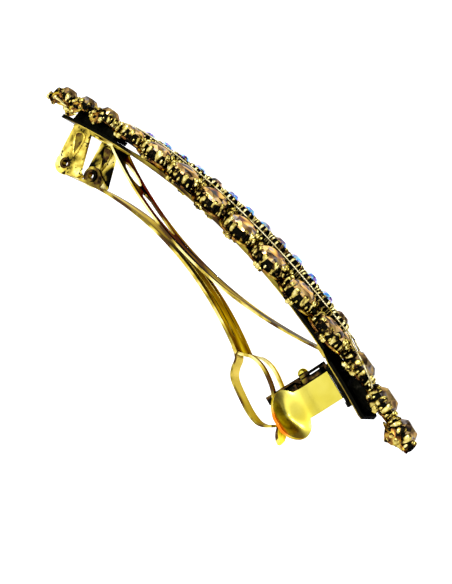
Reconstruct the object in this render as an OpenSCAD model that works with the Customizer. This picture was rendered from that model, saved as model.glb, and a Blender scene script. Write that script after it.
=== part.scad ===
// Spring-clip barrette: an openwork, stone-set plate on a curved clip.
// Length runs along X (hinge end at -X, catch end at +X), width along Y,
// and the stone-set side faces +Z. Dimensions are in millimetres.

/* [Clip base] */
// Length of the base plate, measured along its curve
base_len = 80; // [78:0.5:82]
// Radius of the base plate's underside
base_r = 135.7; // [130:0.1:142]
// Thickness of the base plate
base_t = 0.7; // [0.5:0.05:0.9]
// Width of the base plate between its ends
base_waist = 6; // [5:0.1:6.4]
// Width of the base plate at its two ends
base_end_w = 9.2; // [8.8:0.1:9.6]

/* [Hinge] */
// Distance of the hinge line from the middle, along the base plate's curve
hinge_s = 33.58; // [33:0.01:34]
// Drop of the hinge line below the base plate
hinge_drop = 7.25; // [7:0.01:7.6]
// Width over the two hinge ears
ear_span = 10.12; // [9.9:0.02:10.4]
// Thickness of the bracket's sheet
ear_t = 0.6; // [0.4:0.05:0.7]
// Radius of the hollow hinge pins
pin_r = 1.0; // [0.8:0.05:1.1]
// Radial running clearance of the pins in the ears
pin_gap = 0.06; // [0.03:0.01:0.1]

/* [Closing arm] */
// Radius of the arm's underside
arm_r = 66; // [64:0.5:68]
// Thickness of the arm's sheet
arm_t = 0.5; // [0.4:0.05:0.55]
// Drop of the arm's underside below the base plate, at its crown
arm_drop = 8.5; // [8.4:0.05:8.7]
// Half width of the strip at its catch end
arm_half_w = 3.4; // [3.2:0.05:3.6]
// Distance from the middle plane to each rail of the end loop
rail_centre = 2.45; // [2.4:0.05:2.5]
// Width of each rail of the end loop
rail_w = 1.1; // [0.9:0.05:1.15]
// Width of the finger bow
bow_w = 3; // [2.4:0.1:3.2]

/* [Tension spring] */
// Radius of the spring's underside
spring_r = 85; // [84:0.5:87]
// Thickness of the spring
spring_t = 0.4; // [0.3:0.05:0.45]
// Drop of the spring's underside below the base plate, at its lowest
spring_drop = 7.7; // [7.5:0.05:7.75]

/* [Catch] */
// Distance of the catch from the middle, along the base plate's curve
catch_s = 33.65; // [33.4:0.05:34]
// Thickness of the catch's sheet
catch_t = 0.5; // [0.4:0.05:0.55]
// Distance of each side wall's outer face from the middle plane
wall_y = 5.05; // [4.95:0.01:5.15]
// Length of each side wall along the clip
wall_len = 4.7; // [4.2:0.1:5]
// Length of each finger pad along the clip
pad_len = 8.2; // [7.8:0.1:8.6]
// Reach of each latch leg below the base plate
latch_reach = 12.3; // [12:0.1:12.6]

/* [Stone-set plate] */
// Radius of the curve that the stones' girdles follow, seen from the side
deco_r = 180; // [175:1:190]
// Height of that curve above the base plate's underside, at its crown
deco_rise = 2.45; // [2.45:0.05:2.8]
// Roll of the stone-set plate towards its far side, in degrees
deco_roll = 7; // [0:0.5:7]
// Distance from the middle plane to the widest stones' centres
row_y = 7.7; // [7.5:0.02:7.8]
// Distance between neighbouring stones in a row
row_pitch = 7.27; // [7.2:0.01:7.4]
// Outward lean of the widest stones, in degrees
row_lean = 25; // [20:1:26]
// Length of an oval stone
stone_len = 5.7; // [5.2:0.1:5.8]
// Width of an oval stone
stone_w = 4.3; // [4:0.1:4.4]
// Distance between the small round stones
mid_pitch = 4.09; // [4.05:0.01:4.15]
// Radius of a small round stone
mid_stone_r = 1.5; // [1.3:0.05:1.55]

/* [Hidden] */
$fn = 96;
lean = 5.84;
stand_x = -0.29;
stand_z = 16.406;
fit = 0.03;
big = 60;

base_end_x = base_r * sin(base_len / 2 / base_r * 180 / PI);
pivot_a = -hinge_s / base_r * 180 / PI;
pivot_x = (base_r - hinge_drop) * sin(pivot_a);
pivot_z = (base_r - hinge_drop) * cos(pivot_a) - base_r;

ear_foot_r = 2.1;
ear_in = ear_span / 2 - ear_t;
tab_t = 0.45;
tab_out = ear_in - 0.1;

arm_crown_x = -7;
arm_back_x = pivot_x + 0.3;
arm_front_x = 17.3;

spring_low_x = -0.5;
spring_top_r = spring_r - spring_t;

web_t = 0.55;
catch_w = 9.8;
catch_axis_y = wall_y - catch_t / 2;
pad_mid_x = 0.6;
pad_drop = 8.3;
pad_half_h = 2.3;
leg_in = 1.25;
leg_t = 0.4;
boss_x = -5.3;
boss_n = -5.5;
lug = 0.8;

plate_top = -1.0;
plate_t = 0.35;
plate_inset = 2;
leaf_t = 0.45;
solder_w = 4.4;
hinge_pad_start = 28.5;
hinge_pad_end = 38.4;
catch_pad_start = 34.3;
catch_pad_end = 39;
wire_h = 1.35;
wire_t = 0.5;
wire_in = 2.65;
wire_half_len = 27;
side_len = 3.7;
side_turn = 62;
side_back = 1.1;
side_out = 0.9;
row_count = 8;
row_mid_x = 1.75;
row_end_y = 5.2;
row_half = row_pitch * (row_count - 1) / 2;
row_sag = row_y - row_end_y;
row_r = (row_half * row_half + row_sag * row_sag) / (2 * row_sag);
row_cy = row_r - row_y;
end_lean = 8;

tail_count = 6;
tail_x = [-44.3, -39.2, -33.8, 33.3, 39.8, 45.3];
tail_h = [0.1, 0.25, 0.4, 0, 0, 0];
tail_len = [4.2, 4.4, 4.7, 5.6, 5.0, 4.4];
tail_slim = 0.95;
tail_crown = 1.6;
cup_wall = 0.25;
cup_gap = 0.1;
cup_base = -1.27;
cup_floor = 0.22;
cup_rim = 0.15;
stone_crown = 0.95;
mid_count = 13;
mid_x0 = 0.65;
mid_crown_x = 5;
mid_lift = 2.0;
mid_fall = 0.9;

near_names = [for (k = [1:row_count]) str("near_stone_", k < 10 ? "0" : "", k)];
far_names = [for (k = [1:row_count]) str("far_stone_", k < 10 ? "0" : "", k)];
tail_names = [for (k = [1:tail_count]) str("tail_stone_", k)];
mid_names = [for (k = [1:mid_count]) str("middle_stone_", k < 10 ? "0" : "", k)];

// ---------- places ----------

// Stands the clip on its hinge ears and finger bow
module stand() {
    translate([stand_x, 0, stand_z])
        rotate([0, -lean, 0])
            children();
}

// A frame on the base plate's curve: s along it, n out of it
module on_base(s, n = 0) {
    translate([0, 0, -base_r])
        rotate([0, s / base_r * 180 / PI, 0])
            translate([0, 0, base_r + n])
                children();
}

// A frame on the stones' curve, at length x, width y and height h
module on_deco(x, y = 0, h = 0) {
    translate([0, y, deco_rise - deco_r])
        rotate([0, x / deco_r * 180 / PI, 0])
            translate([0, 0, deco_r + h])
                children();
}

// Rolls the stone-set plate about its own length
module roll() {
    translate([0, 0, deco_rise])
        rotate([-deco_roll, 0, 0])
            translate([0, 0, -deco_rise])
                children();
}

// ---------- shapes ----------

// Cylinder along Y
module y_cylinder(r, w) {
    rotate([90, 0, 0])
        cylinder(h = w, r = r, center = true, $fn = 360);
}

// Sheet bent about the Y axis, from radius r outwards by t
module bent_sheet(r, t, w) {
    difference() {
        y_cylinder(r + t, w);
        y_cylinder(r, w + 2);
    }
}

// Prism along Z over a half outline that is mirrored in the X axis
module both_sides(half) {
    linear_extrude(height = 2 * big, center = true)
        polygon(concat(half, [for (i = [len(half) - 1:-1:0]) [half[i][0], -half[i][1]]]));
}

// Outline in the XZ plane, extruded from y0 to y1
module xz_plate(y0, y1) {
    translate([0, y1, 0])
        rotate([90, 0, 0])
            linear_extrude(height = y1 - y0)
                children();
}

// Smooth curve through a few points, k steps to a span
function blend(a, b, c, d, t) =
    0.5 * (2 * b + (c - a) * t + (2 * a - 5 * b + 4 * c - d) * t * t
    + (3 * b - a - 3 * c + d) * t * t * t);
function smooth(p, k) = [
    for (i = [0:len(p) - 2])
        for (j = [0:k - 1])
            blend(p[max(i - 1, 0)], p[i], p[i + 1], p[min(i + 2, len(p) - 1)], j / k),
    p[len(p) - 1]];

// Points at distance d to the side of a path
function beside(p, d) = [
    for (i = [0:len(p) - 1])
        let (v = p[min(i + 1, len(p) - 1)] - p[max(i - 1, 0)])
            p[i] + d / norm(v) * [-v[1], v[0]]];

// Outline of a sheet of thickness t along a path
module ribbon(p, t) {
    left = beside(p, t / 2);
    right = beside(p, -t / 2);
    polygon(concat(left, [for (i = [len(right) - 1:-1:0]) right[i]]));
}

// Points of an oval, n of them
function oval(rx, ry, n) = [for (i = [0:n - 1]) [rx * cos(i * 360 / n), ry * sin(i * 360 / n)]];

// Points of a rounded box shape, n of them
function squircle(rx, ry, n) = [
    for (i = [0:n - 1])
        let (c = cos(i * 360 / n), q = sin(i * 360 / n))
            [rx * sign(c) * pow(abs(c), 0.8), ry * sign(q) * pow(abs(q), 0.8)]];

// ---------- clip ----------

// Curved plate that everything is fixed to, wider at both ends
module base_plate() {
    end_h = base_end_w / 2;
    waist_h = base_waist / 2;
    color("#1d1b19")
        intersection() {
            translate([0, 0, -base_r])
                bent_sheet(base_r, base_t, 20);
            both_sides([[-base_end_x, 0], [-base_end_x, end_h - 0.6], [-base_end_x + 0.6, end_h],
                [-30, end_h], [-27, waist_h], [27.6, waist_h], [30.2, end_h],
                [base_end_x - 0.6, end_h], [base_end_x, end_h - 0.6], [base_end_x, 0]]);
            cube([2 * big, 2 * big, 30], center = true);
        }
}

// One ear of the hinge bracket, in the frame of the hinge line
module ear_outline() {
    difference() {
        union() {
            polygon([[-1.95, hinge_drop - web_t / 2], [2.1, hinge_drop - web_t / 2], [4.15, -0.75],
                [3.7, -1.3], [0.3, -1.95], [-2.0, 0]]);
            circle(r = ear_foot_r);
        }
        circle(r = pin_r + pin_gap);
    }
}

// Bracket under the base plate with an ear on each side
module hinge_bracket() {
    color("#c9a227")
        union() {
            intersection() {
                translate([0, 0, -base_r])
                    bent_sheet(base_r - fit - web_t, web_t, ear_span - 0.1);
                both_sides([[-35.2, 0], [-35.2, 20], [-31, 20], [-31, 0]]);
                cube([2 * big, 2 * big, 30], center = true);
            }
            on_base(-hinge_s, -hinge_drop) {
                xz_plate(ear_in, ear_span / 2)
                    ear_outline();
                xz_plate(-ear_span / 2, -ear_in)
                    ear_outline();
            }
        }
}

// Hollow pin that joins one arm tab to one ear
module hinge_pin() {
    inner = tab_out - tab_t - fit;
    color("#8f7a3a")
        on_base(-hinge_s, -hinge_drop)
            rotate([90, 0, 0])
                difference() {
                    union() {
                        translate([0, 0, inner - 0.3])
                            cylinder(h = 0.3, r = 1.25);
                        translate([0, 0, inner - 0.3])
                            cylinder(h = ear_span / 2 - inner + 0.25, r = pin_r);
                    }
                    cylinder(h = 20, r = pin_r - 0.35);
                }
}
module near_hinge_pin() {
    hinge_pin();
}
module far_hinge_pin() {
    mirror([0, 1, 0])
        hinge_pin();
}

// Upturned tab that carries a pin, in the XZ plane
module tab_outline() {
    difference() {
        union() {
            translate([pivot_x, pivot_z])
                circle(r = 1.85);
            polygon([[pivot_x - 0.9, pivot_z - 1.6], [arm_back_x, pivot_z - 1.75],
                [-27, -11.55], [-27, -10.6], [-29.6, -9.9], [pivot_x + 1.2, pivot_z + 1.4]]);
        }
        translate([pivot_x, pivot_z])
            circle(r = pin_r);
    }
}

// Path of the rails that carry on from the strip to the loop's tip
rail_path = smooth([[15.6, -12.2], [17.2, -12.72], [18.3, -12.3], [19.4, -11.65],
    [20.7, -11.4], [22.2, -11.5], [24, -12.05], [26, -13.0], [28, -14.55],
    [29.7, -16.3], [31.2, -17.75], [32.3, -18.8]], 4);

// Curved strip with tabs at the hinge and an open loop at the catch end
module closing_arm() {
    color("#b08d2e")
        union() {
            difference() {
                intersection() {
                    translate([arm_crown_x, 0, -arm_drop - arm_r])
                        bent_sheet(arm_r, arm_t, 20);
                    both_sides([[arm_back_x, 0], [arm_back_x, tab_out], [-27, tab_out],
                        [-24, arm_half_w + 0.25], [0, arm_half_w + 0.2],
                        [arm_front_x, arm_half_w], [arm_front_x, 0]]);
                    translate([0, 0, -15])
                        cube([2 * big, 2 * big, 20], center = true);
                }
                for (side = [-1, 1])
                    translate([6, side * 1.45, -10])
                        cube([17, 0.55, 20], center = true);
            }
            xz_plate(tab_out - tab_t, tab_out)
                tab_outline();
            xz_plate(-tab_out, -tab_out + tab_t)
                tab_outline();
            difference() {
                xz_plate(-rail_centre - rail_w / 2, rail_centre + rail_w / 2)
                    ribbon(rail_path, arm_t);
                translate([0, 0, -12])
                    both_sides([[17.2, 0], [17.2, rail_centre - rail_w / 2],
                        [27.6, rail_centre - rail_w / 2], [29.1, 1.2], [29.1, 0]]);
                tip_trim();
            }
        }
}

// What is cut away to leave a leaf shape at the loop's tip
module tip_trim() {
    for (side = [0, 1])
        mirror([0, side, 0])
            linear_extrude(height = 2 * big, center = true)
                polygon([[28.0, 3.1], [29.0, 2.2], [29.6, 1.05], [30.1, 1.3], [30.6, 1.85], [31.1, 2.05],
                    [31.6, 1.8], [32.0, 1.15], [32.2, 0], [34, 0], [34, 5], [28.0, 5]]);
}

// Strap bent below the loop for a fingertip
module finger_bow() {
    path = smooth([[15.4, -12.98], [16.5, -13.45], [17.3, -14.15], [17.95, -15.7],
        [19.2, -16.95], [22.4, -18.1], [24.9, -18.8], [27.1, -18.95], [28.5, -18.3],
        [29.35, -17.35]], 4);
    color("#b89634")
        xz_plate(-bow_w / 2, bow_w / 2)
            ribbon(path, arm_t - 0.1);
}

// Bowed leaf spring with two windows, between the base plate and the arm
module tension_spring() {
    color("#7d6a2c")
        difference() {
            intersection() {
                union() {
                    intersection() {
                        translate([spring_low_x, 0, spring_r - spring_drop])
                            bent_sheet(spring_top_r, spring_t, 20);
                        translate([0, 0, -base_r])
                            y_cylinder(base_r - fit, 30);
                        translate([0, 0, -10])
                            cube([2 * big, 2 * big, 20], center = true);
                    }
                    intersection() {
                        translate([0, 0, -base_r])
                            bent_sheet(base_r - fit - spring_t, spring_t, 20);
                        union() {
                            translate([-28.8, 0, 0])
                                cube([3.6, 20, 20], center = true);
                            translate([27.4, 0, 0])
                                cube([2, 20, 20], center = true);
                        }
                    }
                }
                both_sides([[-30.6, 0], [-30.6, 2.9], [-27, 3.2], [-5, 3.2], [4, 2.95],
                    [28.4, 2.75], [28.4, 0]]);
            }
            both_sides([[-24.6, 0], [-24.4, 0.6], [-23, 1.5], [-21, 1.75], [-19.7, 1.2],
                [-19.1, 0.4], [-19.1, 0]]);
            both_sides([[-17.6, 0], [-17.4, 0.6], [-16.2, 1.6], [-12, 1.5], [-7.6, 0.7],
                [-7.0, 0]]);
        }
}

// ---------- catch ----------

// Saddle under the base plate that the catch hangs from
module catch_base() {
    color("#d8b53a")
        union() {
            intersection() {
                translate([0, 0, -base_r])
                    bent_sheet(base_r - fit - catch_t, catch_t, catch_w);
                both_sides([[30.3, 0], [30.3, 20], [36.3, 20], [36.3, 0]]);
                cube([2 * big, 2 * big, 30], center = true);
            }
            for (side = [-1, 1])
                on_base(37.1, -lug / 2 - fit)
                    translate([0, side * 4.05, 0])
                        cube([lug, lug, lug], center = true);
        }
}

// Outline of a latch leg with a slot along its upper half
module leg_outline(top) {
    difference() {
        polygon([[-3.3, top], [-3.3, -latch_reach + 2], [-3.5, -latch_reach],
            [-4.9, -latch_reach], [-4.7, -8], [-4.7, top]]);
        translate([-4.3, -5.8])
            square([0.25, 3.6]);
    }
}

// Springy near side of the catch: wall, flared finger pad and latch leg
module release_lever() {
    flare = smooth([[-catch_axis_y, -0.7], [-catch_axis_y, -3], [-catch_axis_y - 0.05, -5.2],
        [-5.3, -6.6], [-6.4, -8.0], [-7.9, -9.25], [-9.3, -10.15]], 3);
    color("#e3c341")
        on_base(catch_s)
            union() {
                intersection() {
                    rotate([90, 0, 90])
                        linear_extrude(height = 2 * big, center = true)
                            ribbon(flare, catch_t);
                    xz_plate(-20, 0)
                        union() {
                            translate([-wall_len / 2, -6.5])
                                square([wall_len, 6.5]);
                            translate([pad_mid_x, -pad_drop])
                                polygon(squircle(pad_len / 2, pad_half_h, 40));
                        }
                }
                translate([-wall_len / 2 - 1.3, -wall_y, -8])
                    cube([leg_t, wall_y - leg_in, 2]);
                translate([-wall_len / 2 - 1.3, -wall_y, -8])
                    cube([1.4, catch_t, 2]);
                xz_plate(-leg_in - leg_t, -leg_in)
                    leg_outline(-1.4);
            }
}

// Fixed latch leg on the far side, with its foot under the saddle
module fixed_latch_leg() {
    leg_top = -catch_t - 2 * fit;
    color("#3a2f18")
        on_base(catch_s)
            union() {
                xz_plate(leg_in, leg_in + leg_t)
                    leg_outline(leg_top);
                translate([-3.5, leg_in, leg_top - leg_t])
                    cube([3.4, 2.2, leg_t]);
                translate([boss_x, 0.2, boss_n - 0.7])
                    cube([-4.6 - boss_x, leg_in + leg_t - 0.2, 1.4]);
            }
}

// Round boss on the hinge side of the fixed latch leg
module latch_boss() {
    color("#d8b53a")
        on_base(catch_s)
            translate([boss_x - fit, 0.75, boss_n])
                difference() {
                    sphere(r = 0.9);
                    translate([0, -2, -2])
                        cube([4, 4, 4]);
                }
}

// ---------- stone-set plate ----------

// Half width of the row of stones at length x
function row_at(x) = sqrt(row_r * row_r - (x - row_mid_x) * (x - row_mid_x)) - row_cy;
function row_x(k) = row_mid_x - row_half + row_pitch * (k - 1);
function row_turn(x) = asin((x - row_mid_x) / row_r);
function lean_at(x) = end_lean + (row_lean - end_lean) * (row_at(x) - row_end_y) / row_sag;

// A frame at stone k of a row; side -1 is near, 1 is far
module at_stone(k, side) {
    x = row_x(k);
    on_deco(x, side * row_at(x))
        rotate([-side * lean_at(x), 0, 0])
            rotate([0, 0, -side * row_turn(x)])
                children();
}

// Prism over the plate's two-arc outline, d outside the rows
module lens_prism(d) {
    intersection() {
        side_disc(-1, d);
        side_disc(1, d);
    }
}

// Upright disc whose rim runs d outside one row
module side_disc(side, d) {
    translate([row_mid_x, side * row_cy, 0])
        cylinder(h = 60, r = row_r + d, center = true, $fn = 360);
}

// Pad of solder between the base plate and the stone-set plate, from x0 to x1
module solder_pad(x0, x1) {
    color("#4a463d")
        intersection() {
            difference() {
                roll()
                    translate([0, 0, deco_rise - deco_r])
                        y_cylinder(deco_r + plate_top - plate_t - fit, 30);
                translate([0, 0, -base_r])
                    y_cylinder(base_r + base_t + fit, 40);
            }
            translate([x0, -solder_w / 2, -10])
                cube([x1 - x0, solder_w, 20]);
        }
}
module hinge_solder_pad() {
    solder_pad(-hinge_pad_end, -hinge_pad_start);
}
module catch_solder_pad() {
    solder_pad(catch_pad_start, catch_pad_end);
}

// Thin curved plate between the rows of settings
module deco_plate() {
    color("#3b3222")
        intersection() {
            translate([0, 0, deco_rise - deco_r])
                bent_sheet(deco_r + plate_top - plate_t, plate_t, 30);
            union() {
                lens_prism(-plate_inset);
                translate([tail_x[0] - 1, -1.3, -15])
                    cube([tail_x[tail_count - 1] - tail_x[0] + 2, 2.6, 30]);
            }
        }
}

// Cup that holds an oval stone of length l and width w, open at the top
module oval_cup(l, w, floor_h) {
    outer_l = l / 2 + cup_gap + cup_wall;
    outer_w = w / 2 + cup_gap + cup_wall;
    difference() {
        translate([0, 0, floor_h])
            linear_extrude(height = cup_rim - floor_h)
                polygon(oval(outer_l, outer_w, 20));
        translate([0, 0, floor_h + cup_floor])
            linear_extrude(height = 5)
                polygon(oval(outer_l - cup_wall, outer_w - cup_wall, 20));
    }
}

// Faceted oval stone: flat table, crown, girdle and a blunt point
module oval_stone(l, w, floor_h, crown) {
    n = 12;
    rings = [[0.3, floor_h + cup_floor], [1, 0], [1, 0.2], [0.6, crown]];
    pts = [for (q = rings) for (p = oval(l / 2 * q[0], w / 2 * q[0], n)) [p[0], p[1], q[1]]];
    sides = [
        for (j = [0:len(rings) - 2])
            for (i = [0:n - 1])
                [j * n + i, (j + 1) * n + i, (j + 1) * n + (i + 1) % n, j * n + (i + 1) % n]];
    caps = [[for (i = [0:n - 1]) i], [for (i = [n - 1:-1:0]) 3 * n + i]];
    polyhedron(points = pts, faces = concat(sides, caps));
}

module row_settings(side) {
    color("#8a6d24")
        for (k = [1:row_count])
            at_stone(k, side)
                oval_cup(stone_len, stone_w, cup_base);
}
module near_settings() {
    row_settings(-1);
}
module far_settings() {
    row_settings(1);
}
module row_stone(k, side) {
    color("#9c7a55")
        at_stone(k, side)
            oval_stone(stone_len, stone_w, cup_base, stone_crown);
}

// Single stones on the middle line beyond the rows, and their cups
function tail_floor(k) = plate_top + fit - tail_h[k - 1];
module tail_settings(first) {
    color("#8a6d24")
        for (k = [first:first + 2])
            on_deco(tail_x[k - 1], 0, tail_h[k - 1])
                oval_cup(tail_len[k - 1], tail_len[k - 1] * tail_slim, tail_floor(k));
}
module hinge_tail_settings() {
    tail_settings(1);
}
module catch_tail_settings() {
    tail_settings(4);
}
module tail_stone(k) {
    color("#9c7a55")
        on_deco(tail_x[k - 1], 0, tail_h[k - 1])
            oval_stone(tail_len[k - 1], tail_len[k - 1] * tail_slim, tail_floor(k), tail_crown);
}

// Small round stones along the middle, and their cups
function mid_x(k) = mid_x0 + mid_pitch * (k - (mid_count + 1) / 2);
function mid_h(k) = mid_lift - mid_fall * pow((mid_x(k) - mid_crown_x) / 29, 2);
module middle_settings() {
    color("#5b4a1f")
        for (k = [1:mid_count])
            on_deco(mid_x(k))
                difference() {
                    translate([0, 0, plate_top + fit])
                        cylinder(h = mid_h(k) + 0.1 - plate_top - fit, r = mid_stone_r + 0.35);
                    translate([0, 0, mid_h(k) - 0.9])
                        cylinder(h = 3, r = mid_stone_r + 0.08);
                }
}
module middle_stone(k) {
    r = mid_stone_r;
    color("#6f7fc4")
        on_deco(mid_x(k), 0, mid_h(k))
            rotate_extrude()
                polygon([[0, -0.9], [0.35, -0.9], [r, 0], [r, 0.15], [r - 0.65, 0.7], [0, 0.7]]);
}

// Wire that runs along the inner side of one row
module gallery_wire(side) {
    color("#d9bd55")
        intersection() {
            translate([0, 0, deco_rise - deco_r])
                bent_sheet(deco_r + wire_h, wire_t, 30);
            difference() {
                side_disc(-side, -wire_in);
                side_disc(-side, -wire_in - wire_t);
            }
            translate([row_mid_x, side * row_end_y, 0])
                cube([2 * wire_half_len, 2 * row_end_y - 0.4, 30], center = true);
        }
}
module near_gallery_wire() {
    gallery_wire(-1);
}
module far_gallery_wire() {
    gallery_wire(1);
}

// Pointed petal of length l along +X, as an upright prism
module petal(l) {
    half_w = l * 0.27;
    r = (l * l / 4 + half_w * half_w) / (2 * half_w);
    intersection() {
        translate([l / 2, r - half_w, 0])
            cylinder(h = 40, r = r, center = true);
        translate([l / 2, half_w - r, 0])
            cylinder(h = 40, r = r, center = true);
    }
}

// Three petals under the last stone of a tail; turn is the tail's direction
module leaf_group(x, turn, l) {
    color("#b08d2e")
        intersection() {
            translate([0, 0, deco_rise - deco_r])
                bent_sheet(deco_r + plate_top - plate_t - fit - leaf_t, leaf_t, 30);
            translate([x, 0, 0])
                rotate([0, 0, turn])
                    union() {
                        petal(l);
                        for (side = [-1, 1])
                            translate([-side_back, side * side_out, 0])
                                rotate([0, 0, side * side_turn])
                                    petal(side_len);
                    }
        }
}
module hinge_leaves() {
    leaf_group(-43.6, 180, 4.9);
}
module catch_leaves() {
    leaf_group(43.9, 0, 3.9);
}

stand() base_plate();
stand() hinge_bracket();
stand() near_hinge_pin();
stand() far_hinge_pin();
stand() closing_arm();
stand() finger_bow();
stand() tension_spring();
stand() catch_base();
stand() release_lever();
stand() fixed_latch_leg();
stand() latch_boss();
stand() hinge_solder_pad();
stand() catch_solder_pad();
stand() roll() deco_plate();
stand() roll() near_settings();
stand() roll() far_settings();
stand() roll() hinge_tail_settings();
stand() roll() catch_tail_settings();
stand() roll() middle_settings();
stand() roll() near_gallery_wire();
stand() roll() far_gallery_wire();
stand() roll() hinge_leaves();
stand() roll() catch_leaves();
for (k = [1:row_count])
    stand() roll() row_stone(k, -1);
for (k = [1:row_count])
    stand() roll() row_stone(k, 1);
for (k = [1:tail_count])
    stand() roll() tail_stone(k);
for (k = [1:mid_count])
    stand() roll() middle_stone(k);
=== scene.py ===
"""Looks of the stone-set barrette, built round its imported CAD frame.

Sizes are in millimetres in the clip's own frame, as in the part's source: X along
the clip, Y across it, Z out of the stone side. MM turns them to Blender's metres.
"""
import math
import random

import bpy
from mathutils import Matrix, Vector


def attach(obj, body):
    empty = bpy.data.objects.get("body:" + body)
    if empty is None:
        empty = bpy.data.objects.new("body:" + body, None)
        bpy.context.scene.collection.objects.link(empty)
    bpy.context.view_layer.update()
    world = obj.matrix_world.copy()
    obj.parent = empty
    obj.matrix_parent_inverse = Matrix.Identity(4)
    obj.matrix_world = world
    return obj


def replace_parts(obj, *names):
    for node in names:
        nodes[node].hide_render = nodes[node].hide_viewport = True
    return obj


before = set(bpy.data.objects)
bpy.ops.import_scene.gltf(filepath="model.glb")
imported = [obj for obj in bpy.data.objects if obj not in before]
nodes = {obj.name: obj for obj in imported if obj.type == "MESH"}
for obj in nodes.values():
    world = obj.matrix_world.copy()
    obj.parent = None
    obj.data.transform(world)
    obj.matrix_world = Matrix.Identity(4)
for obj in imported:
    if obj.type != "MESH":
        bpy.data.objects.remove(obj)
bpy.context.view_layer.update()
rng = random.Random(7)

MM = 0.001

# ---------- the part's driving dimensions ----------

# How the clip stands: its lean, and the middle of the base plate's underside
LEAN = math.radians(5.84)
STAND = (-0.29, 0, 16.406)

# Base plate, hinge and catch; places with an S are lengths along the base plate's curve
BASE_R = 135.7
HINGE_S = -33.58
HINGE_DROP = 7.25
EAR_SPAN = 10.12
EAR_T = 0.6
CATCH_S = 33.65

# Stone-set plate: the curve of the stones' girdles, its roll, and the plate's top below it
DECO_R = 180.0
DECO_RISE = 2.45
DECO_ROLL = math.radians(-7)
PLATE_TOP = -1.0

# Outer rows of oval stones
ROW_COUNT = 8
ROW_PITCH = 7.27
ROW_MID_X = 1.75
ROW_Y = 7.7
ROW_END_Y = 5.2
ROW_LEAN = 25
END_LEAN = 8
STONE_LEN = 5.7
STONE_W = 4.3
STONE_CROWN = 0.95

# Single stones of the two tails, from the hinge end to the catch end
TAIL_X = (-44.3, -39.2, -33.8, 33.3, 39.8, 45.3)
TAIL_H = (0.1, 0.25, 0.4, 0, 0, 0)
TAIL_LEN = (4.2, 4.4, 4.7, 5.6, 5.0, 4.4)
TAIL_SLIM = 0.95
TAIL_CROWN = 1.6

# Middle row of small round stones
MID_COUNT = 13
MID_X0 = 0.65
MID_PITCH = 4.09
MID_R = 1.5
MID_CROWN_X = 5
MID_LIFT = 2.0
MID_FALL = 0.9
MID_REACH = 29

# ---------- sizes of what only Blender shows ----------

# Gold line along the base plate's lower edge
EDGE_LINE = 0.14

# Claws: number round a stone, sizes, how far outside the stone they start, how far they may
# stand off the cup, and how far outside the stone the lumps between them are
CLAW_COUNT = 10
ROW_CLAW = 1.12
TAIL_CLAW = 1.2
CUP_EDGE = 0.35
CLAW_REACH = 0.25
LUMP_OUT = 0.4

# Prongs round a small round stone: their number, and how far outside the stone they stand
PRONG_COUNT = 11
PRONG_OUT = 0.42

# Cut stones: heights of back and girdle, and the small round ones' own crown and width
STONE_FLOOR = -0.9
STONE_GIRDLE = 0.2
MID_FLOOR = -0.8
MID_GIRDLE = 0.5
MID_CROWN = 1.15
MID_CUT = 2 * MID_R - 0.1

# Tail stones without hanging petals, and the bead clusters beside the tails, as x, y and height
BARE_TAILS = TAIL_X[3:5]
TAIL_CLUSTERS = ((-36.2, 1.5, -0.2), (-41.5, 1.3, -0.3), (36.8, 1.5, -0.4), (42.9, 1.3, -0.5),
                 (-30.2, 2.2, 0.1), (30.1, 2.0, 0.0))

# Gallery wires: height, half length, and how far inside the row's line they run
WIRE_H = 1.5
WIRE_HALF_LEN = 27
WIRES_IN = (2.68, 3.1)
WIRE_ENDS_IN = 2.9

# Release lever: its wall, and the finger pad's middle, half length and half height
WALL_HALF = 2.35
WALL_T = 0.5
PAD_X = 0.6
PAD_Z = -8.35
PAD_HALF_LEN = 4.1
PAD_HALF_H = 2.0

# Floor: its radius and how far it lies below the clip
FLOOR_R = 900
FLOOR_DROP = 80

# Points round an oval rim
OVAL_STEPS = 28

# ---------- sizes worked out from these ----------

ROW_HALF = ROW_PITCH * (ROW_COUNT - 1) / 2
ROW_SAG = ROW_Y - ROW_END_Y
ROW_R = (ROW_HALF ** 2 + ROW_SAG ** 2) / (2 * ROW_SAG)
ROW_CY = ROW_R - ROW_Y

# ---------- places ----------

def move(x, y, z):
    return Matrix.Translation((x, y, z))


def turn(axis, angle):
    return Matrix.Rotation(angle, 4, axis)


STANDING = move(*STAND) @ turn("Y", -LEAN)
ROLLED = STANDING @ move(0, 0, DECO_RISE) @ turn("X", DECO_ROLL) @ move(0, 0, -DECO_RISE)


def on_base(s, n=0):
    """Frame on the base plate's curve."""
    return STANDING @ move(0, 0, -BASE_R) @ turn("Y", s / BASE_R) @ move(0, 0, BASE_R + n)


HINGE = on_base(HINGE_S, -HINGE_DROP)
CATCH = on_base(CATCH_S)


def on_deco(x, y=0, h=0):
    """Frame on the stones' curve."""
    return ROLLED @ move(0, y, DECO_RISE - DECO_R) @ turn("Y", x / DECO_R) @ move(0, 0, DECO_R + h)


def row_at(x):
    """Distance of a row of stones from the middle plane at length x."""
    return math.sqrt(ROW_R ** 2 - (x - ROW_MID_X) ** 2) - ROW_CY


def row_x(k):
    """Length at which the k-th stone of a row sits."""
    return ROW_MID_X - ROW_HALF + ROW_PITCH * (k - 1)


def at_row(x, side):
    """Frame of a row of stones at length x, leaning outwards."""
    lean = math.radians(END_LEAN + (ROW_LEAN - END_LEAN) * (row_at(x) - ROW_END_Y) / ROW_SAG)
    swing = math.asin((x - ROW_MID_X) / ROW_R)
    return on_deco(x, side * row_at(x)) @ turn("X", -side * lean) @ turn("Z", -side * swing)


def mid_x(k):
    """Length at which the k-th small stone sits."""
    return MID_X0 + MID_PITCH * (k - (MID_COUNT + 1) / 2)


def mid_h(k):
    """Height of the k-th small stone over the girdles' curve."""
    return MID_LIFT - MID_FALL * ((mid_x(k) - MID_CROWN_X) / MID_REACH) ** 2


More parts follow.
